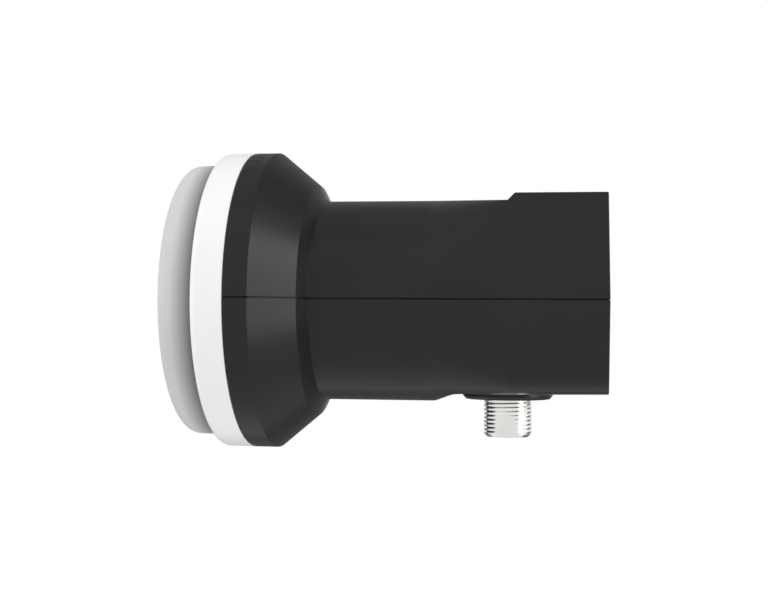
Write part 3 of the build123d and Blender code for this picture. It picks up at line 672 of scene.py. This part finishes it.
bow = np.radians([135, 120, 105, 90])
plate_block = np.vstack([
    [(block_start + rise, roof + rise, plate_corner) for rise in (0.0, 0.1, 0.7)],
    np.stack([
        bow_x + bow_radius * np.cos(bow), plate_top + bow_radius * (np.sin(bow) - 1), np.full(len(bow), plate_corner)
    ], axis=-1),
    [(x, plate_top, plate_corner) for x in block_rows],
])
tick_corner, tick_top = tick_columns()
points, faces = housing_half(
    1, plate_block, tail_end=(roof, 0.8), below=upper_below,
    hollow={"top": ([28.75, 29.95], [16.7, 17.9]), "corner": 0.4, "below": upper_below},
    lap=1.0, tongue_end=1.6, draft=1.1, ticks={"corner": tick_corner, "top": tick_top, "cut": cut_ticks},
)
upper_half = make_piece("upper_half", points, faces, shell_black.material)
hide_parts("upper_shell")


# Front cap: the light grey weather cap over the horn's mouth, injection-moulded in thin plastic with a
# slightly domed front. The ring behind it traps its flange. Painted shade darkens its grey towards that ring.
def turned_piece(name, line, material, segments=288):
    """A piece turned about the horn's axis from a closed line of (x, radius) points."""
    line = np.vstack([line, line[:1]])
    angle = np.linspace(0, 2 * np.pi, segments + 1)[None]
    along, radius = line[:, :1], line[:, 1:]
    points = np.stack([along + 0 * angle, radius * np.cos(angle), radius * np.sin(angle)], axis=-1)
    return make_piece(name, points.reshape(-1, 3), grid_faces(*points.shape[:2]), material)


def domed(front, edge_radius, corner, rise, count):
    """A shallow spherical front from the axis out to a rounded edge, as (x, radius) points."""
    reach = edge_radius - corner
    ball = (reach**2 + rise**2) / (2 * rise)
    out = reach * np.linspace(0, 1, count)
    dome = np.stack([front - rise + ball - np.sqrt(ball**2 - out**2), out], axis=-1)
    angle = np.radians(np.linspace(0, 90, 10))[1:]
    edge = np.stack([front + corner * (1 - np.cos(angle)), reach + corner * np.sin(angle)], axis=-1)
    return np.vstack([dome, edge])


cap_bore, cap_flange, flange_front, flange_back = 26.0, 28.2, -30.55, -28.95
cap_outer = domed(front=-38.85, edge_radius=27.349, corner=2.2, rise=0.6, count=24)
cap_side = turned_line([
    (-36.6, 27.353, 0), (flange_front, 27.48, 0.05), (flange_front, cap_flange, 0.15),
    (flange_back, cap_flange, 0.15), (flange_back, cap_bore, 0.1), (-36.7, cap_bore, 0),
], closed=False)
cap_inner = domed(front=-37.35, edge_radius=cap_bore, corner=0.6, rise=0.6, count=24)[::-1]
cap_grey = Finish(
    "grey_cap", dark=(0.58, 0.59, 0.58), light=(0.63, 0.64, 0.63),
    fine=4600.0, broad=50.0, roughness=(0.40, 0.52), relief=(0.10, 0.00004), specular=0.4,
)
# Painted shade: the cap's grey is darkened towards the trim ring, where the ring's shadow falls. The darkening
# starts further forward on the lower side.
shade_lean, shade_start, shade_end, shade_grey = -0.01, -0.0361, -0.0317, (0.095, 0.097, 0.095)
cap_tree = cap_grey.tree
cap_place = cap_tree.nodes.new("ShaderNodeSeparateXYZ")
cap_tree.links.new(cap_tree.nodes.new("ShaderNodeTexCoord").outputs["Object"], cap_place.inputs["Vector"])
painted_shade_tilt = work_out(cap_tree, "MULTIPLY", cap_place.outputs["Z"], shade_lean)
painted_shade_place = work_out(cap_tree, "ADD", cap_place.outputs["X"], painted_shade_tilt)
painted_ring_shade = spread(cap_tree, painted_shade_place, shade_start, shade_end)
cap_grey.colour(blend(cap_tree, painted_ring_shade, cap_grey.base, shade_grey))
cap_piece = turned_piece("weather_cap", np.vstack([cap_outer, cap_side, cap_inner]), cap_grey.material)
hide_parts("front_cap")


# Trim ring: the white ring that snaps over the housing's spigot, traps the cap's flange and keeps the two
# halves together. It is injection-moulded, glossier than the housing and slightly tapered towards the cap.
ring_front, ring_back, ring_lip, ring_bore = -31.65, -25.3, 27.65, 28.3
catch, catch_half, catch_depth = -27.025, 0.6, 0.3
ring_line = turned_line([
    (ring_front, ring_lip, 0.2), (ring_front, 29.7, 1.3), (ring_back, head_radius, 0.15),
    (ring_back, ring_bore, 0.1), (catch + catch_half, ring_bore, 0), (catch, ring_bore + catch_depth, 0),
    (catch - catch_half, ring_bore, 0), (flange_front, ring_bore, 0.1), (flange_front, ring_lip, 0.05),
])
ring_white = Finish(
    "white_ring", dark=(0.88, 0.89, 0.905), light=(0.91, 0.92, 0.93),
    fine=4200.0, broad=40.0, roughness=(0.26, 0.36), relief=(0.08, 0.00003), specular=0.5,
)
ring_piece = turned_piece("trim_ring_white", ring_line, ring_white.material)
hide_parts("trim_ring")


# Stage: a pale floor below the part and a white surround. Two soft lamps beyond the rear end show only in
# gloss, a third only lights the part, and three grey cloths behind and above it show only in reflections.
def white_for_lens(tree, plain, sink):
    """Shows plain white to the camera, reflections and clear materials, and the plain shader to other rays."""
    path = tree.nodes.new("ShaderNodeLightPath")
    seen = work_out(tree, "MAXIMUM", path.outputs["Is Camera Ray"], path.outputs["Is Glossy Ray"])
    seen = work_out(tree, "MAXIMUM", seen, path.outputs["Is Transmission Ray"])
    mix = tree.nodes.new("ShaderNodeMixShader")
    tree.links.new(seen, mix.inputs["Fac"])
    tree.links.new(plain, mix.inputs[1])
    tree.links.new(mix.outputs["Shader"], sink)
    return mix.inputs[2]


world = bpy.data.worlds.new("studio")
bpy.context.scene.world = world
world.use_nodes = True
surround = world.node_tree.nodes["Background"]
surround.inputs["Color"].default_value = (1.0, 1.0, 1.0, 1.0)
surround.inputs["Strength"].default_value = 0.95
backdrop = world.node_tree.nodes.new("ShaderNodeBackground")
backdrop.inputs["Color"].default_value = (1.0, 1.0, 1.0, 1.0)
backdrop.inputs["Strength"].default_value = 1.0
world_out = world.node_tree.nodes["World Output"].inputs["Surface"]
world.node_tree.links.new(
    backdrop.outputs["Background"], white_for_lens(world.node_tree, surround.outputs["Background"], world_out)
)

floor_mesh = bpy.data.meshes.new("floor")
reach, level = 6, -0.4
floor_corners = [(-reach, -reach, level), (reach, -reach, level), (reach, reach, level), (-reach, reach, level)]
floor_mesh.from_pydata(floor_corners, [], [(0, 1, 2, 3)])
floor = bpy.data.objects.new("floor", floor_mesh)
bpy.context.scene.collection.objects.link(floor)
floor_paper = bpy.data.materials.new("floor_paper")
floor_paper.use_nodes = True
paper_tree = floor_paper.node_tree
paper = paper_tree.nodes["Principled BSDF"]
paper.inputs["Base Color"].default_value = (0.86, 0.86, 0.86, 1.0)
paper.inputs["Roughness"].default_value = 0.9
glow = paper_tree.nodes.new("ShaderNodeEmission")
glow.inputs["Strength"].default_value = 1.0
paper_out = paper_tree.nodes["Material Output"].inputs["Surface"]
paper_tree.links.new(glow.outputs["Emission"], white_for_lens(paper_tree, paper.outputs["BSDF"], paper_out))
floor_mesh.materials.append(floor_paper)


def soft_lamp(name, place, width, height, power, mirrored):
    """A rectangular soft lamp that faces the part and is only mirrored in it, or only lights it."""
    lamp = bpy.data.lights.new(name, "AREA")
    lamp.shape = "RECTANGLE"
    lamp.size, lamp.size_y = width, height
    lamp.energy = power
    piece = bpy.data.objects.new(name, lamp)
    piece.location = place
    piece.rotation_euler = (-Vector(place)).to_track_quat("-Z", "Y").to_euler()
    piece.visible_glossy = mirrored
    piece.visible_diffuse = not mirrored
    bpy.context.scene.collection.objects.link(piece)


soft_lamp("key_lamp", (0.525, -0.165, 0.10), 0.20, 0.62, 2.15, True)
soft_lamp("rim_lamp", (0.50, 0.02, -0.02), 0.46, 0.20, 0.13, True)
soft_lamp("top_lamp", (-0.42, -0.20, 0.36), 0.50, 0.40, 0.8, False)


def cloth_flag(name, near, far, tone):
    """A plain grey cloth between two level edges (y, z) that only reflections show, as a studio flag in gloss."""
    left, right = -1.1, 0.75
    corners = [(left, *near), (right, *near), (right, *far), (left, *far)]
    mesh = bpy.data.meshes.new(name)
    mesh.from_pydata(corners, [], [(0, 1, 2, 3)])
    cloth = bpy.data.materials.new(name)
    cloth.use_nodes = True
    shader = cloth.node_tree.nodes["Principled BSDF"]
    shader.inputs["Base Color"].default_value = (tone, tone, tone, 1.0)
    shader.inputs["Roughness"].default_value = 1.0
    mesh.materials.append(cloth)
    piece = bpy.data.objects.new(name, mesh)
    piece.visible_camera = piece.visible_diffuse = piece.visible_shadow = piece.visible_transmission = False
    bpy.context.scene.collection.objects.link(piece)


cloth_flag("flag_below", near=(0.28, -0.39), far=(0.35, -0.08), tone=0.22)
cloth_flag("flag_behind", near=(0.35, 0.1), far=(0.26, 0.75), tone=0.3)
cloth_flag("flag_above", near=(0.26, 0.75), far=(-0.25, 0.75), tone=0.7)

lens = bpy.data.cameras.new("camera")
lens.sensor_width = 36.0
lens.lens = 66.28
lens.clip_start = 0.01
camera = bpy.data.objects.new("camera", lens)
aim = Vector((0.00036, 0.0, 0.0001))
azimuth, elevation, roll, distance = math.radians(8.87), math.radians(-1.0), math.radians(0.39), 0.2854
camera.location = aim + distance * Vector((
    math.sin(azimuth) * math.cos(elevation), -math.cos(azimuth) * math.cos(elevation), math.sin(elevation)
))
upright = (aim - camera.location).to_track_quat("-Z", "Y").to_matrix()
camera.rotation_euler = (upright @ Matrix.Rotation(roll, 3, "Z")).to_euler()
bpy.context.scene.collection.objects.link(camera)
bpy.context.scene.camera = camera
bpy.context.scene.view_settings.view_transform = "Standard"
